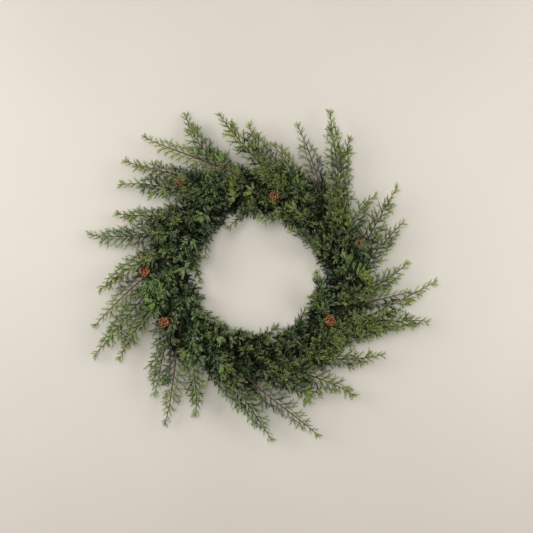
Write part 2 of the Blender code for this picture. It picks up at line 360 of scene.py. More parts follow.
def make_needle():
    """One needle of unit length along +X: a three-sided blade, widest at its middle, with a sharp tip."""
    half = NEEDLE_HALF_WIDTH / NEEDLE_LENGTH
    foot = half * NEEDLE_FOOT
    bm = bmesh.new()
    bmesh.ops.create_cone(
        bm, cap_ends=True, segments=NEEDLE_SIDES, radius1=foot, radius2=half, depth=NEEDLE_WAIST
    )
    bmesh.ops.translate(bm, verts=bm.verts, vec=(0, 0, NEEDLE_WAIST / 2))
    top = max(bm.faces, key=lambda face: face.calc_center_median().z)
    tip = bmesh.ops.poke(bm, faces=[top])["verts"][0]
    tip.co = (NEEDLE_HOOK, 0, 1)
    bmesh.ops.rotate(bm, verts=bm.verts, matrix=Matrix.Rotation(math.pi / 2, 3, "Y"))
    _, out = new_layers(bm)
    for corner in bm.verts:
        corner[out] = corner.co.x
    for face in bm.faces:
        face.material_index = 1
    return finished(bm, "needle")


TWIG_RADII = (0.0006, 0.0003)  # at the foot and at the tip
TWIG_SIDES = 4
TWIG_OUT = (0.7, 0.3)  # at the foot, and how much more at the tip: its bark is still green
WHORL_SPACING = 0.0029
WHORL_TURNS = (0, 180, 90)  # left, right and on top, in degrees
WHORL_WANDER = 45  # degrees either way
WHORL_STAGGER = 0.4  # share of the spacing either way
NEEDLE_SIZES = (0.75, 1.15)
NEEDLE_TAPER = 0.3  # how much shorter they are at the shoot's tip
NEEDLE_LEANS = (22, 42)  # degrees away from the twig
NEEDLE_CLOSING = 8  # degrees less at the shoot's tip
OLDEST_NEEDLE = -0.2
NEEDLE_AGES = 0.9  # how much younger some needles are than others beside them
END_NEEDLE = (0.97, 0.8)  # how far along the shoot it stands, and its size
STAGGER = (0.2, 0.8)  # where in its own stretch each side growth stands
FORK_SPACING = 0.0085
FORK_STRETCH = (0.16, 0.62)  # where along the shoot the forks begin, and how far they go on
FORK_TURNS = (36, 50)  # degrees
FORK_TILTS = (-15, 25)  # degrees
FORK_SIZES = (1.1, 0.45)  # at the shoot's foot, and how much less at its tip
SHOOT_SWAY = (-0.06, 0.10)  # how far its tip bends aside, over its length


def make_shoot(needle, length, seed, forks=()):
    """A side shoot along +X: a thin twig ringed with whorls of three needles, with short forks left and
    right if it is a long one."""
    rng = random.Random(seed)
    bm = bmesh.new()
    growth, out = new_layers(bm)
    thick, thin = TWIG_RADII
    bmesh.ops.create_cone(
        bm, cap_ends=True, segments=TWIG_SIDES, radius1=thick, radius2=thin, depth=length
    )
    bmesh.ops.rotate(bm, verts=bm.verts, matrix=Matrix.Rotation(math.pi / 2, 3, "Y"))
    bmesh.ops.translate(bm, verts=bm.verts, vec=(length / 2, 0, 0))
    for corner in bm.verts:
        corner[out] = TWIG_OUT[0] + TWIG_OUT[1] * corner.co.x / length
    whorls = round(length / WHORL_SPACING)
    for k in range(whorls):
        along = (k + 0.5) / whorls
        for around in WHORL_TURNS:
            size = NEEDLE_LENGTH * (1.0 - NEEDLE_TAPER * along**3) * rng.uniform(*NEEDLE_SIZES)
            lean = math.radians(rng.uniform(*NEEDLE_LEANS) - NEEDLE_CLOSING * along)
            under = 180 if k % 2 and around == 90 else 0  # every second top needle grows below instead
            turn = math.radians(90 + around + under + rng.uniform(-WHORL_WANDER, WHORL_WANDER))
            foot = (along + rng.uniform(-WHORL_STAGGER, WHORL_STAGGER) / whorls) * length
            matrix = (
                Matrix.Translation((foot, 0, 0))
                @ Matrix.Rotation(turn, 4, "X")
                @ Matrix.Rotation(-lean, 4, "Y")
                @ Matrix.Scale(size, 4)
            )
            before = len(bm.verts)
            plant(bm, needle, matrix)
            bm.verts.ensure_lookup_table()
            age = along**2 + NEEDLE_AGES * rng.random() ** 1.5 + OLDEST_NEEDLE
            for corner in bm.verts[before:]:
                corner[growth] = age
    end, size = END_NEEDLE
    plant(bm, needle, Matrix.Translation((length * end, 0, 0)) @ Matrix.Scale(NEEDLE_LENGTH * size, 4))
    count = int(length / FORK_SPACING) if forks else 0
    for k in range(count):
        along = FORK_STRETCH[0] + FORK_STRETCH[1] * (k + rng.uniform(*STAGGER)) / count
        turn = math.radians(rng.uniform(*FORK_TURNS)) * (1 if k % 2 else -1)
        tilt = math.radians(rng.uniform(*FORK_TILTS))
        place = Matrix.Translation((along * length, 0, 0))
        turned = Matrix.Rotation(turn, 4, "Z") @ Matrix.Rotation(-tilt, 4, "Y")
        fork = forks[min(int(rng.uniform(0, len(forks))), len(forks) - 1)]
        plant(bm, fork, place @ turned @ Matrix.Scale(FORK_SIZES[0] - FORK_SIZES[1] * along, 4))
    sway = rng.uniform(*SHOOT_SWAY) * length
    for corner in bm.verts:
        corner.co.y += sway * (corner.co.x / length) ** 2
    return finished(bm, f"shoot_{seed}")


STEM_SIDES = 6
STATION_SPACING = 0.008
FEWEST_STATIONS = 8
KNUCKLES = (0.92, 1.12)  # how thick the stem is at even and at odd stations


def grow_stem(bm, sprig):
    """The woody stem, drawn out station by station and a little knuckled."""
    count = max(FEWEST_STATIONS, round(sprig.length / STATION_SPACING))
    face = bm.faces.new(bmesh.ops.create_circle(bm, segments=STEM_SIDES, radius=1.0)["verts"])
    was = Matrix.Identity(4)
    for k in range(count + 1):
        t = k / count
        step = sprig.point(min(t + 0.01, 1.0)) - sprig.point(max(t - 0.01, 0.0))
        size = sprig.radius(t) * KNUCKLES[k % 2]
        now = aimed(sprig.point(t), step, size) @ Matrix.Rotation(math.pi / 2, 4, "Y")
        if k:
            face = bmesh.ops.extrude_discrete_faces(bm, faces=[face])["faces"][0]
        bmesh.ops.transform(bm, matrix=now @ was.inverted(), verts=face.verts)
        was = now


# How much younger a sprig's needles are than those of the shoots that are planted on it.
SPRIG_YOUTH = 0.32  # the most that a sprig is older or younger than the others
PALE_YOUTH = 0.24
SHARED_YOUTH = 0.7  # how much of the sprig's own youth its side shoots have
TIP_YOUTH = 0.7

# Flank shoots, down both sides of the stem. Turns and rises are in radians unless degrees are named.
FIRST_SHOOT = 0.0144  # how far up the stem it stands
SHOOT_SPACING = 0.0064
SHOOT_ANGLES = (math.radians(50), math.radians(34))  # at the bound end and at the tip
SHOOT_WANDER = 0.12
SHOOT_REACHES = (0.48, 0.70)  # of the sprig's half width
INNER_SLIMNESS = 0.75  # the small sprigs round the opening carry shorter side shoots
FLANK_RISES = (-0.12, 0.2)
FULLEST = 0.75  # below 1, the widest place moves from the stem's middle towards its bound end
FLANK_YOUTH = 0.75  # how much younger they are towards the tip
FLANK_YOUTH_AT_FOOT = -0.05
FLANK_YOUTHS = (-0.2, 0.2)
FLANK_COARSENESS = (1.05, 0.25)  # at the bound end, and how much less at the tip

# Crown shoots, standing off the stem's face.
CROWNED = 0.85  # how far along the stem they go
CROWN_LENGTHS = (0.012, 0.022)
CROWN_RISES = (0.3, 0.8)
CROWN_TURN = 0.7
CROWN_YOUTH = 0.15

# A stem that shows has few crown shoots, and its other shoots hang a little below it.
SHOWN_CROWNED = 0.15
SHOWN_RISES = (-0.35, -0.05)
SHOWN_COLLAR_RISES = (-0.4, 0.0)
SHOWN_FROM = 0.012  # how far up the stem it begins to show

# The bushy collar over the ring. Some of its shoots are swept along the stem.
COLLAR_SHOOTS = 40
SWEPT_SHOOTS = 22
COLLAR_FOOT = 0.002
COLLAR_REACH = 0.070  # how far up the stem it goes
COLLAR_TURNS = (20, 150)  # degrees from the stem
SWEPT_TURN = (5, 28)  # mean and deviation, in degrees from the stem
COLLAR_RISES = (-0.1, 1.0)
SWEPT_RISES = (-0.1, 0.7)
COLLAR_LENGTHS = (0.014, 0.026)
SWEPT_LENGTHS = (0.020, 0.036)
COLLAR_YOUTH_AND_SHADE = 0.8  # how much younger and lighter the ones are that rise more: partly older growth low down, partly painted shade
COLLAR_MIDDLE_RISE = 0.60  # those are neither older nor younger
COLLAR_YOUTHS = (-0.52, 0.40)
COLLAR_COARSENESS = 1.28

# Dark shoots under the collar, all round each bound end: partly old growth, partly painted shade under
# the collar.
UNDER_TURNS = (-130, -105, -80, -55, -30, -5, 20, 45, 70, 95, 120, 145)  # degrees from the stem
UNDER_WANDER = 12
UNDER_REACHES = (0.0, 0.35)  # shares of the collar's reach
UNDER_FEET = (0.002, 0.018)
UNDER_LENGTHS = (0.022, 0.032)
UNDER_RISES = (-0.1, 0.1)
UNDER_AGE_AND_SHADE = -0.7
UNDER_COARSENESS = 1.1

# One shoot ends the sprig.
END_SHOOT = 0.013
END_SHOOT_OVERLAP = 0.7  # how much of it lies along the stem's own end
END_SHOOT_COARSENESS = 0.72


def grow_foliage(bm, sprig, shoots, rng):
    """Side shoots down both flanks of the stem, others standing off its face, a bushy collar of short
    ones over the bound end with dark ones under it, and one at the tip."""
    shown = sprig.name in SHOWN_STEMS
    first = FIRST_SHOOT / sprig.length
    count = round(sprig.length * (1 - first) / SHOOT_SPACING)
    crowned = SHOWN_CROWNED if shown else CROWNED
    own = rng.uniform(-SPRIG_YOUTH, SPRIG_YOUTH) + (PALE_YOUTH if sprig.name in PALE else 0.0)
    half_width = sprig.half_width * (INNER_SLIMNESS if sprig.name.startswith("inner") else 1.0)
    for k in range(count):
        t = first + (1 - first) * (k + rng.uniform(*STAGGER)) / count
        side = 1 if k % 2 else -1
        angle = SHOOT_ANGLES[0] + (SHOOT_ANGLES[1] - SHOOT_ANGLES[0]) * t
        angle += rng.uniform(-SHOOT_WANDER, SHOOT_WANDER)
        fullness = math.sin(math.pi * t**FULLEST)
        length = half_width * fullness / math.sin(angle) * rng.uniform(*SHOOT_REACHES)
        length = max(length, SHOOT_LENGTHS[0])
        youth = SHARED_YOUTH * own + FLANK_YOUTH * t**3 + FLANK_YOUTH_AT_FOOT + rng.uniform(*FLANK_YOUTHS)
        rise = rng.uniform(*(SHOWN_RISES if shown else FLANK_RISES))
        coarseness = FLANK_COARSENESS[0] - FLANK_COARSENESS[1] * t * t
        add_shoot(bm, sprig, shoots, t, side * angle, length, rise, youth, rng, coarseness)
        if k % 2 and t < crowned:
            rise = rng.uniform(*CROWN_RISES)
            length = rng.uniform(*CROWN_LENGTHS)
            turn = rng.uniform(-CROWN_TURN, CROWN_TURN)
            add_shoot(bm, sprig, shoots, t, turn, length, rise, youth + CROWN_YOUTH, rng)
    for k in range(COLLAR_SHOOTS):
        t = rng.uniform(COLLAR_FOOT, COLLAR_REACH) / sprig.length
        swept = k < SWEPT_SHOOTS
        turn = math.radians(rng.gauss(*SWEPT_TURN) if swept else rng.uniform(*COLLAR_TURNS))
        rise = rng.uniform(*(SWEPT_RISES if swept else COLLAR_RISES))
        if shown and t * sprig.length > SHOWN_FROM:
            rise = rng.uniform(*SHOWN_COLLAR_RISES)
        length = rng.uniform(*(SWEPT_LENGTHS if swept else COLLAR_LENGTHS))
        youth = SHARED_YOUTH * own + COLLAR_YOUTH_AND_SHADE * (rise - COLLAR_MIDDLE_RISE)
        youth += rng.uniform(*COLLAR_YOUTHS)
        add_shoot(bm, sprig, shoots, t, turn, length, rise, youth, rng, COLLAR_COARSENESS)
    for around in UNDER_TURNS:
        for reach in UNDER_REACHES:
            t = (reach * COLLAR_REACH + rng.uniform(*UNDER_FEET)) / sprig.length
            turn = math.radians(around + rng.uniform(-UNDER_WANDER, UNDER_WANDER))
            length = rng.uniform(*UNDER_LENGTHS)
            rise = rng.uniform(*UNDER_RISES)
            add_shoot(bm, sprig, shoots, t, turn, length, rise, UNDER_AGE_AND_SHADE, rng, UNDER_COARSENESS)
    t = 1 - END_SHOOT_OVERLAP * END_SHOOT / sprig.length
    add_shoot(bm, sprig, shoots, t, 0.0, END_SHOOT, 0.0, own + TIP_YOUTH, rng, END_SHOOT_COARSENESS)


CLEAR_OF_OPENING = COLLAR_REACH * 0.6  # shoots set lower than this on a stem stay out of the opening


def add_shoot(bm, sprig, shoots, t, turn, length, rise, youth, rng, coarseness=1.0):
    """Plants a shoot on the stem, turned from its heading and raised, with its needles that much
    younger and coarser than the shoot's own, unless it would hide a stem or the opening."""
    root = sprig.plan(t)
    heading = sprig.heading(t)
    heading.rotate(Matrix.Rotation(turn, 2))
    origin = on_ramp(root, sprig.bound_at)
    direction = (on_ramp(root + heading * length, sprig.bound_at) - origin).normalized()
    direction.z += math.tan(rise)
    reach = direction.normalized() * length
    inside = (origin + reach - RING_CENTRE).to_2d().length < OPENING_RADIUS
    kept_out = t * sprig.length < CLEAR_OF_OPENING or coarseness > 1.0
    if not hides_stem(origin, reach) and not (inside and kept_out):
        set_shoot(bm, shoots, origin, reach, youth, rng, coarseness)


STEM_CLEARANCE = 0.0075  # how near a shoot has to pass to hide a stem
OWN_STEM = 0.003  # a shoot that starts this near a shown stem grows on it
MARGIN_ON_OWN = 0.002  # how far above its own stem it may lie
MARGIN_ON_OTHER = -0.004
FOOT_LENGTH = 0.004  # the shoot's foot hides nothing


def hides_stem(origin, reach):
    """Whether a shoot would lie over one of the stems that show."""
    _, _, off = shown_stems.find((origin.x, origin.y, 0.0))
    margin = MARGIN_ON_OWN if off < OWN_STEM else MARGIN_ON_OTHER
    for share in (0.25, 0.5, 0.75, 1.0):
        place = origin + reach * share
        _, k, off = shown_stems.find((place.x, place.y, 0.0))
        over = off < STEM_CLEARANCE and place.z > stem_heights[k] + margin
        if over and share * reach.length > FOOT_LENGTH:
            return True
    return False


TIP_HEADROOM = 0.002  # how far below the highest needle a shoot's tip stays
LENGTH_CHOICE = 0.004  # how much a chosen shoot's own length may be off
SHOOT_ROLL = 0.5


def set_shoot(bm, shoots, origin, reach, youth, rng, coarseness=1.0):
    """Plants a shoot near in length to the vector reach, kept under the highest needle."""
    length = reach.length
    reach.z = min(reach.z, HIGHEST_NEEDLE - TIP_HEADROOM - origin.z)
    wanted = length / coarseness
    shoot, natural = min(
        shoots, key=lambda item: abs(item[1] - wanted) + rng.uniform(0, LENGTH_CHOICE)
    )
    before = len(bm.verts)
    plant(bm, shoot, aimed(origin, reach, length / natural, rng.uniform(-SHOOT_ROLL, SHOOT_ROLL)))
    bm.verts.ensure_lookup_table()
    growth = bm.verts.layers.float["growth"]
    for corner in bm.verts[before:]:
        corner[growth] += youth


TUFT_SPACING = 0.0013
TUFT_HEADROOM = 0.008
TUFT_STALK_YOUTH = 0.1
TUFT_FAN = 0.9  # deviation from the sprig's heading
TUFT_DEPTHS = (-0.006, 0.002)
TUFT_REACHES = (0.008, 0.014)
TUFT_RISES = (0.0, 0.006)


def grow_tuft(bm, sprig, shoots, radius, bearing, spread, rise, youth, rng):
    """A tuft of short shoots that stands out of the sprig's foliage at a place on the ring."""
    place = polar(radius, math.radians(bearing))
    t = sprig.nearest(place)
    origin = sprig.point(t)
    centre = RING_CENTRE + place.to_3d()
    centre.z = min(origin.z + rise, HIGHEST_NEEDLE - TUFT_HEADROOM)
    set_shoot(bm, shoots, origin, centre - origin, TUFT_STALK_YOUTH, rng)
    heading = sprig.heading(t)
    facing = math.atan2(heading.y, heading.x)
    for _ in range(round(spread / TUFT_SPACING)):
        away = polar(rng.uniform(0.0, spread), facing + rng.gauss(0, TUFT_FAN)).to_3d()
        root = centre + away * 0.5
        root.z += rng.uniform(*TUFT_DEPTHS)
        reach = away.normalized() * rng.uniform(*TUFT_REACHES)
        reach.z = rng.uniform(*TUFT_RISES)
        set_shoot(bm, shoots, root, reach, youth, rng)


SHELTER_CLEARANCE = 0.001  # how far above the cone its shoots meet
SHELTER_LOWEST = 0.02  # how far along the stem the first can stand
SHELTER_FEET = (0.12, 0.24)  # how far before the cone, over the stem's length
SHELTER_WIDTH = (0.013, 0.019)  # how far to one side the first leans, and how far across they go
SHELTER_REACHES = (0.95, 1.12)
SHELTER_YOUTHS = (-0.8, -0.3)


def shelter(bm, sprig, shoots, cone, count, rng):
    """Shoots that rise from the stem and lean over a cone."""
    lowest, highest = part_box(cone)
    middle = (lowest + highest) / 2
    top = Vector((middle.x, middle.y, highest.z + SHELTER_CLEARANCE))
    beside = sprig.nearest(top.to_2d())
    across = sprig.heading(beside).to_3d().cross(Vector((0, 0, 1)))
    for k in range(count):
        origin = sprig.point(max(beside - rng.uniform(*SHELTER_FEET), SHELTER_LOWEST))
        over = top + across * (SHELTER_WIDTH[0] - SHELTER_WIDTH[1] * k / count)
        reach = (over - origin) * rng.uniform(*SHELTER_REACHES)
        set_shoot(bm, shoots, origin, reach, rng.uniform(*SHELTER_YOUTHS), rng)


# Painted shade: the foliage's colour darkens with depth below the topmost needle beside it and below the
# foliage around.
CELL = 0.0030  # grid for finding the topmost needle
CROWD = 3  # cells each way that count as the foliage around
DARK_BELOW = 0.009  # below the topmost needle beside it
DARK_SUNK = 0.014  # below the foliage around


def spread_out(heights, reach):
    """The mean of a grid of heights over a square of cells reaching that many cells each way."""
    total = np.zeros_like(heights)
    for dx in range(-reach, reach + 1):
        for dy in range(-reach, reach + 1):
            total += np.roll(heights, (dx, dy), (0, 1))
    return total / (2 * reach + 1) ** 2


def paint_shade_by_depth(meshes):
    """Writes how far down in the foliage each corner lies, from 0 on top to 1 well inside it, for the
    painted shade that darkens needles below the topmost needle beside them and below the foliage around."""
    places = []
    for mesh in meshes:
        corners = np.empty(3 * len(mesh.vertices), dtype=np.float32)
        mesh.vertices.foreach_get("co", corners)
        places.append(corners.reshape(-1, 3))
    everything = np.concatenate(places)
    start = everything.min(axis=0)
    shape = ((everything.max(axis=0) - start)[:2] / CELL).astype(int) + 2 * CROWD + 1
    topmost = np.zeros(shape)
    cells = tuple(((everything - start)[:, :2] / CELL).astype(int).T)
    np.maximum.at(topmost, cells, everything[:, 2])
    around = spread_out(topmost, CROWD)
    for mesh, corners in zip(meshes, places):
        cells = tuple(((corners - start)[:, :2] / CELL).astype(int).T)
        below = np.clip((topmost[cells] - corners[:, 2]) / DARK_BELOW, 0, 1)
        sunk = np.clip((around[cells] - corners[:, 2]) / DARK_SUNK, 0, 1)
        deep = mesh.attributes.new("deep", "FLOAT", "POINT")
        deep.data.foreach_set("value", (0.5 * below + 0.5 * sunk).astype(np.float32))


def attribute(material, name):
    return add_node(material, "ShaderNodeAttribute", attribute_name=name).outputs["Fac"]


def multiply_add(material, value, factor, other):
    inputs = {0: value, 1: factor, 2: other}
    return add_node(material, "ShaderNodeMath", inputs, operation="MULTIPLY_ADD").outputs["Value"]


def map_range(material, value, **ends):
    inputs = {"Value": value} | {name.replace("_", " ").title(): end for name, end in ends.items()}
    return add_node(material, "ShaderNodeMapRange", inputs).outputs["Result"]


def tinted(material, factor, colour, tint):
    """A colour multiplied by another, as far as the factor says."""
    inputs = {0: factor, 6: colour, 7: tint}
    mix = add_node(material, "ShaderNodeMix", inputs, data_type="RGBA", blend_type="MULTIPLY")
    return mix.outputs[2]


def painted_depth_shade(material):
    """Painted shade: white on the outside of the foliage, down to nearly black deep inside it."""
    stops = [(0.0, "#FFFFFF"), (0.75, "#1A2C0E"), (0.28, "#C3CCAE")]
    return ramp(material, attribute(material, "deep"), stops)


def juniper_bark():
    """Thin young juniper bark: red brown, dull and flaking, but still olive green on side shoots, and
    darkened by painted shade deep in the foliage.
    """
    material, shader = new_material("juniper_bark")
    place = add_node(material, "ShaderNodeTexCoord").outputs["Object"]
    flakes = noise(material, place, 400.0, 3.0)
    old = ramp(material, flakes, [(0.3, "#2E1B15"), (0.5, "#573227"), (0.72, "#7C5447")])
    inputs = {0: attribute(material, "out"), 6: old, 7: linear("#6B7748")}
    aged = add_node(material, "ShaderNodeMix", inputs, data_type="RGBA").outputs[2]
    # Painted shade, at six tenths strength, deep in the foliage.
    connect(material, tinted(material, 0.6, aged, painted_depth_shade(material)), shader, "Base Color")
    shader.inputs["Roughness"].default_value = 0.8
    return material


def juniper_needles():
    """Waxy juniper needles: dark green when old, yellow green when young and lime on fresh tufts, bluish
    where the wax is thick, with painted shade that makes them nearly black green deep inside the
    foliage and darkest down at each needle's foot."""
    material, shader = new_material("juniper_needles")
    place = add_node(material, "ShaderNodeTexCoord").outputs["Object"]
    inputs = {0: place, 1: (1, 1, 0)}
    level = add_node(material, "ShaderNodeVectorMath", inputs, operation="MULTIPLY").outputs[0]
    inputs = {0: level, 1: RING_CENTRE}
    centred = add_node(material, "ShaderNodeVectorMath", inputs, operation="DISTANCE").outputs["Value"]
    # Lighter and younger outwards: partly the young growth out at the tips, partly painted shade
    # darkening the dense ring.
    outward = map_range(material, centred, from_min=0.14, from_max=0.27, to_min=-0.10, to_max=0.32)
    patches = noise(material, place, 34.0, 2.0)
    specks = noise(material, place, 300.0, 1.0)
    wax = noise(material, place, 13.0, 3.0)
    inputs = {0: attribute(material, "growth"), 1: outward}
    aged = add_node(material, "ShaderNodeMath", inputs, operation="ADD").outputs["Value"]
    mottled = multiply_add(material, patches, 2.0, aged)
    speckled = multiply_add(material, specks, 1.2, mottled)
    youth = map_range(material, speckled, from_min=0.75, from_max=2.7)
    grown = ramp(
        material,
        youth,
        [
            (0.0, "#0B1905"),
            (1.0, "#B6CA60"),
            (0.22, "#263B1E"),
            (0.38, "#56715A"),
            (0.55, "#909F86"),
            (0.72, "#ADB7A0"),
            (0.85, "#C6CC92"),
        ],
    )
    bloomed = multiply_add(material, attribute(material, "bloom"), 0.24, wax)
    thick = multiply_add(material, youth, -0.30, bloomed)
    waxed = map_range(material, thick, from_min=0.27, from_max=0.60)
    inputs = {"Hue": 0.558, "Saturation": 0.76, "Value": 1.10, "Fac": waxed, "Color": grown}
    bluish = add_node(material, "ShaderNodeHueSaturation", inputs).outputs["Color"]
    # Painted shade: darker down towards each needle's foot, where the needles around would shade it.
    stops = [(0.0, "#50563F"), (0.35, "#D6DACE"), (1.0, "#FFFFFF")]
    shade = ramp(material, attribute(material, "out"), stops)
    colour = tinted(material, 1.0, bluish, shade)
    # Painted shade: nearly black deep inside the foliage.
    connect(material, tinted(material, 1.0, colour, painted_depth_shade(material)), shader, "Base Color")
    shader.inputs["Roughness"].default_value = 0.5
    shader.inputs["Specular IOR Level"].default_value = 0.10
    return material


SHOOT_LENGTHS = (0.009, 0.013, 0.018, 0.025, 0.033, 0.042)
FORK_LENGTHS = 2  # how many of the shortest shoots also serve as forks on the longer ones
STEM_SAMPLES = 60
BOUND_SAMPLES = 6  # those at a shown stem's bound end, which the collar may cover

bark = juniper_bark()
needles = juniper_needles()
needle = make_needle()
shoots = []
for k, size in enumerate(SHOOT_LENGTHS):
    forks = [mesh for mesh, _ in shoots[: 2 * FORK_LENGTHS]] if k >= FORK_LENGTHS else ()
    for variant in (1, 2):
        shoots.append((make_shoot(needle, size, 10 * k + variant, forks), size))
sprigs = {row[0]: Sprig(*row) for row in SPRIGS}
samples = [k / STEM_SAMPLES for k in range(BOUND_SAMPLES, STEM_SAMPLES)]
stem_points = [sprigs[name].point(t) for name in sorted(SHOWN_STEMS) for t in samples]
stem_heights = [point.z for point in stem_points]
shown_stems = KDTree(len(stem_points))
for k, point in enumerate(stem_points):
    shown_stems.insert((point.x, point.y, 0.0), k)
shown_stems.balance()
tufts = {name: [] for name in sprigs}
carrying = [k / 20 for k in range(3, 18)]  # the parts of a stem that can carry a tuft
for tuft in TUFTS:
    place = polar(tuft[0], math.radians(tuft[1]))
    carrier = min(
        sprigs.values(), key=lambda sprig: min((sprig.plan(t) - place).length for t in carrying)
    )
    tufts[carrier.name].append(tuft)
foliage = []
for name, sprig in sprigs.items():
    rng = random.Random(name)
    bm = bmesh.new()
    new_layers(bm)
    grow_stem(bm, sprig)
    grow_foliage(bm, sprig, shoots, rng)
    for tuft in tufts[name]:
        grow_tuft(bm, sprig, shoots, *tuft, rng)
    if name in SHELTERS:
        shelter(bm, sprig, shoots, *SHELTERS[name], rng)
    for corner in bm.verts:
        corner.co.z = min(max(corner.co.z, LOWEST_NEEDLE), HIGHEST_NEEDLE)
    piece = bpy.data.objects.new(f"juniper_{name}", finished(bm, name))
    piece.data.materials.append(bark)
    piece.data.materials.append(needles)
    bpy.context.scene.collection.objects.link(piece)
    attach(piece, "root")
    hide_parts(name)
    bloom = piece.data.attributes.new("bloom", "FLOAT", "POINT")
    bloom.data.foreach_set("value", [float(name in BLUISH)] * len(piece.data.vertices))
    foliage.append(piece.data)
paint_shade_by_depth(foliage)


# ---- Cones ----------------------------------------------------------------------------------
# Small dry cones, each on a short stalk wired to a sprig: a woody core with thin scales set round it
# in a spiral, standing open towards the foot and closed at the top.

# Each cone: name, the sprig it is wired to, how far along that stem, its lean in degrees, the way it
# leans in degrees anticlockwise from the stem's heading, and the length of its stalk.
CONES = [
    ("cone_01", "outer_sprig_06", 0.12, 45, 90, 0.008),
    ("cone_02", "outer_sprig_30", 0.46, 30, 135, 0.012),
    ("cone_03", "outer_sprig_14", 0.32, 30, 315, 0.008),
    ("cone_04", "outer_sprig_17", 0.28, 45, 270, 0.004),
    ("cone_05", "inner_sprig_10", 0.24, 45, 225, 0.012),
    ("cone_06", "outer_sprig_09", 0.52, 30, 90, 0.004),
]

SCALE_LENGTH = 0.0092
SCALE_WIDTH = 0.0094
SCALE_THICKNESS = 0.0017
SCALE_OUTLINE = (0.34, 0.66)  # its width at the foot, and how much more at the widest
SCALE_LIP = 0.8  # from here on its width stays the same
SCALE_ROUNDING = 0.16  # how much its lip's corners are cut back
SCALE_CURL = 0.0016
SCALE_CUP = 0.0009


def make_scale():
    """One scale along +X: a spoon-shaped leaf of wood, narrow at its foot, with a thick rolled lip."""
    bm = bmesh.new()
    bmesh.ops.create_grid(bm, x_segments=4, y_segments=4, size=0.5)
    growth = bm.verts.layers.float.new("growth")
    for corner in bm.verts:
        along, across = corner.co.x + 0.5, corner.co.y * 2
        width = SCALE_OUTLINE[0] + SCALE_OUTLINE[1] * math.sin(math.pi * min(along, SCALE_LIP) ** 0.9)
        rounding = SCALE_ROUNDING * across * across
        corner.co.x = SCALE_LENGTH * (along - rounding * along)
        corner.co.y = SCALE_WIDTH / 2 * across * width
        corner.co.z = SCALE_CURL * along * along + SCALE_CUP * across * across
        corner[growth] = along
    bmesh.ops.solidify(bm, geom=bm.faces, thickness=SCALE_THICKNESS)
    bmesh.ops.recalc_face_normals(bm, faces=bm.faces)
    return finished(bm, "cone_scale")


CONE_HEIGHT = 0.022
CONE_RADIUS = 0.0105
CORE_SIDES = 12
# The core's outline from the foot up, as shares of the cone's radius and height.
CORE = [(0.0, 0.0), (0.30, 0.02), (0.52, 0.25), (0.56, 0.45), (0.42, 0.75), (0.12, 0.93), (0.0, 0.96)]
WELD = 0.00005
SCALE_COUNT = 20
GOLDEN_TURN = math.radians(137.5)
WAIST = (0.12, 0.84)  # how much of a half wave the cone's outline takes, from where and how far
SCALE_FEET = 0.42  # how far out the scales start, over the cone's radius
SCALE_RISE = (0.04, 0.74)  # where the lowest starts, and how far up the others go, over the cone's height
SCALE_LIFT = (42, 34)  # degrees from level at the foot, and how many more at the top
SCALE_WANDER = 6  # degrees either way
SCALE_SIZE = (0.62, 0.38)  # where the cone is slim, and how much more at its waist
SCALE_SHRINK = 0.25  # how much smaller they are at the top
STALK_RADIUS = 0.0011
STALK_FLARE = 1.2
STALK_OVERLAP = 0.001  # how far it goes up into the core
STALK_SIDES = 8


def make_cone(name, scale, stalk, seed):
    """A cone standing on its stalk's foot at the origin, along +Z."""
    rng = random.Random(seed)
    bm = bmesh.new()
    bm.verts.layers.float.new("growth")
    corners = [bm.verts.new((CONE_RADIUS * r, 0.0, CONE_HEIGHT * h)) for r, h in CORE]
    edges = [bm.edges.new(pair) for pair in zip(corners, corners[1:])]
    bmesh.ops.spin(
        bm,
        geom=corners + edges,
        cent=(0, 0, 0),
        axis=(0, 0, 1),
        angle=math.tau,
        steps=CORE_SIDES,
        use_merge=True,
    )
    bmesh.ops.remove_doubles(bm, verts=bm.verts, dist=WELD)
    bmesh.ops.recalc_face_normals(bm, faces=bm.faces)
    for k in range(SCALE_COUNT):
        height = (k + 0.5) / SCALE_COUNT
        waist = math.sin(math.pi * (WAIST[0] + WAIST[1] * height)) ** 0.7
        foot = CONE_RADIUS * SCALE_FEET * waist
        wander = rng.uniform(-SCALE_WANDER, SCALE_WANDER)
        lift = math.radians(SCALE_LIFT[0] + SCALE_LIFT[1] * height**1.3 + wander)
        size = (SCALE_SIZE[0] + SCALE_SIZE[1] * waist) * (1.0 - SCALE_SHRINK * height)
        matrix = (
            Matrix.Rotation(k * GOLDEN_TURN, 4, "Z")
            @ Matrix.Translation((foot, 0, CONE_HEIGHT * (SCALE_RISE[0] + SCALE_RISE[1] * height)))
            @ Matrix.Rotation(-lift, 4, "Y")
            @ Matrix.Scale(size, 4)
        )
        plant(bm, scale, matrix)
    bmesh.ops.translate(bm, verts=bm.verts, vec=(0, 0, stalk))
    length = stalk + STALK_OVERLAP
    made = bmesh.ops.create_cone(
        bm,
        cap_ends=True,
        segments=STALK_SIDES,
        radius1=STALK_RADIUS,
        radius2=STALK_RADIUS * STALK_FLARE,
        depth=length,
    )
    bmesh.ops.translate(bm, verts=made["verts"], vec=(0, 0, length / 2))
    return finished(bm, name)


def cone_wood():
    """Dry cone scales: matt, rust brown, darker down inside, paler and more orange at the lips."""
    material, shader = new_material("dry_cone_scale")
    place = add_node(material, "ShaderNodeTexCoord").outputs["Object"]
    stops = [(0.30, "#220B05"), (0.64, "#783C18"), (0.97, "#BA7442")]
    base = ramp(material, attribute(material, "growth"), stops)
    grain = noise(material, place, 90.0, 6.0)
    streaks = ramp(material, grain, [(0.36, "#86685C"), (0.62, "#FFFFFF")])
    connect(material, tinted(material, 1.0, base, streaks), shader, "Base Color")
    shader.inputs["Roughness"].default_value = 0.7
    return material


CAD_STEM_RADII = (0.0018, 0.0007)
GAP = 0.0003  # between the stalk and the CAD stem that it stands on

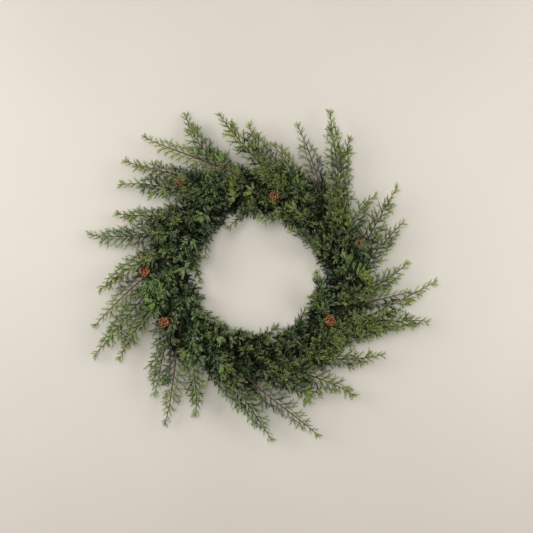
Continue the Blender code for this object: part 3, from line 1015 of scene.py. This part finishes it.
dry_scale = cone_wood()
scale = make_scale()
for k, (name, carrier, along, lean, sideways, stalk) in enumerate(CONES):
    sprig = sprigs[carrier]
    tilt = math.radians(lean)
    stem = CAD_STEM_RADII[0] + (CAD_STEM_RADII[1] - CAD_STEM_RADII[0]) * along
    foot = sprig.point(along) + Vector((0, 0, stem + GAP + STALK_RADIUS * math.sin(tilt)))
    heading = sprig.heading(along)
    facing = math.atan2(heading.y, heading.x) + math.radians(sideways)
    mesh = make_cone(name, scale, stalk, k)
    turned = Matrix.Rotation(facing, 4, "Z") @ Matrix.Rotation(tilt, 4, "Y")
    mesh.transform(Matrix.Translation(foot) @ turned)
    mesh.materials.append(dry_scale)
    piece = bpy.data.objects.new(f"scaly_{name}", mesh)
    bpy.context.scene.collection.objects.link(piece)
    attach(piece, "root")
    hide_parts(name)


# ---- Floor, light and camera ----------------------------------------------------------------
# A pale warm plastered surface under one broad soft light, with a low window on each side, a hazy sun
# from the upper left and a grey room around, seen from straight above.

FLOOR_SIZE = 40.0

bpy.ops.mesh.primitive_plane_add(size=FLOOR_SIZE)
floor = bpy.context.object
floor.name = "floor"
plaster, shader = new_material("matt_plaster")
ground = add_node(plaster, "ShaderNodeTexCoord").outputs["Object"]
clouds = noise(plaster, ground, 3.0, 2.0)
grit = noise(plaster, ground, 260.0, 3.0)
trowelled = multiply_add(plaster, grit, 0.4, clouds)
tint = ramp(plaster, trowelled, [(0.45, "#C6C1BA"), (0.95, "#CBC6BF")])
connect(plaster, tint, shader, "Base Color")
shader.inputs["Roughness"].default_value = 0.9
floor.data.materials.append(plaster)

WARM_WHITE = "#FFFDF8"
LIGHT_SIZE = 1.2

# Each soft light: name, place, the point that it faces, power in watts and spread in degrees.
SOFT_LIGHTS = [
    ("overhead", (-0.32, 0.36, 2.1), (0, 0, 0), 13.6, 180),
    ("left_window", (-1.5, 0.36, 0.9), (-0.7, 0.10, 0), 7.9, 110),
    ("right_window", (1.5, 0.36, 0.9), (0.7, 0.10, 0), 7.6, 110),
]

SUN_STRENGTH = 0.54
SUN_WIDTH = math.radians(20)
SUN_DIRECTION = (0.20, -0.24, -2.1)


def hang(light, place, direction):
    """Hangs a light at a place, shining in a direction."""
    light.color = linear(WARM_WHITE)[:3]
    lamp = bpy.data.objects.new(light.name, light)
    lamp.location = place
    lamp.rotation_euler = direction.to_track_quat("-Z", "Y").to_euler()
    bpy.context.scene.collection.objects.link(lamp)


for name, place, target, power, spread in SOFT_LIGHTS:
    light = bpy.data.lights.new(name, "AREA")
    light.shape = "DISK"
    light.size = LIGHT_SIZE
    light.energy = power
    light.spread = math.radians(spread)
    hang(light, place, Vector(target) - Vector(place))
skylight = bpy.data.lights.new("skylight", "SUN")
skylight.energy = SUN_STRENGTH
skylight.angle = SUN_WIDTH
hang(skylight, (0, 0, 0), Vector(SUN_DIRECTION))

world = bpy.data.worlds.new("studio")
bpy.context.scene.world = world
world.use_nodes = True
around = add_node(world, "ShaderNodeTexCoord").outputs["Generated"]
upward = add_node(world, "ShaderNodeSeparateXYZ", {0: around}).outputs["Z"]
walls = ramp(world, upward, [(0.0, "#A7A29A"), (1.0, "#7A7976"), (0.16, "#C8C4BE"), (0.42, "#8E8C89")])
connect(world, walls, world.node_tree.nodes["Background"], "Color")

bpy.context.scene.view_settings.view_transform = "Standard"

FIELD = 0.943  # how wide the view is at the wreath
FIELD_CENTRE = (0.0078, 0.0167)
FIELD_HEIGHT = 0.03
LENS = 85.0

camera = bpy.data.cameras.new("camera")
camera.lens = LENS
viewer = bpy.data.objects.new("camera", camera)
distance = FIELD / 2 / math.tan(camera.angle / 2)
viewer.location = (*FIELD_CENTRE, FIELD_HEIGHT + distance)
bpy.context.scene.collection.objects.link(viewer)
bpy.context.scene.camera = viewer
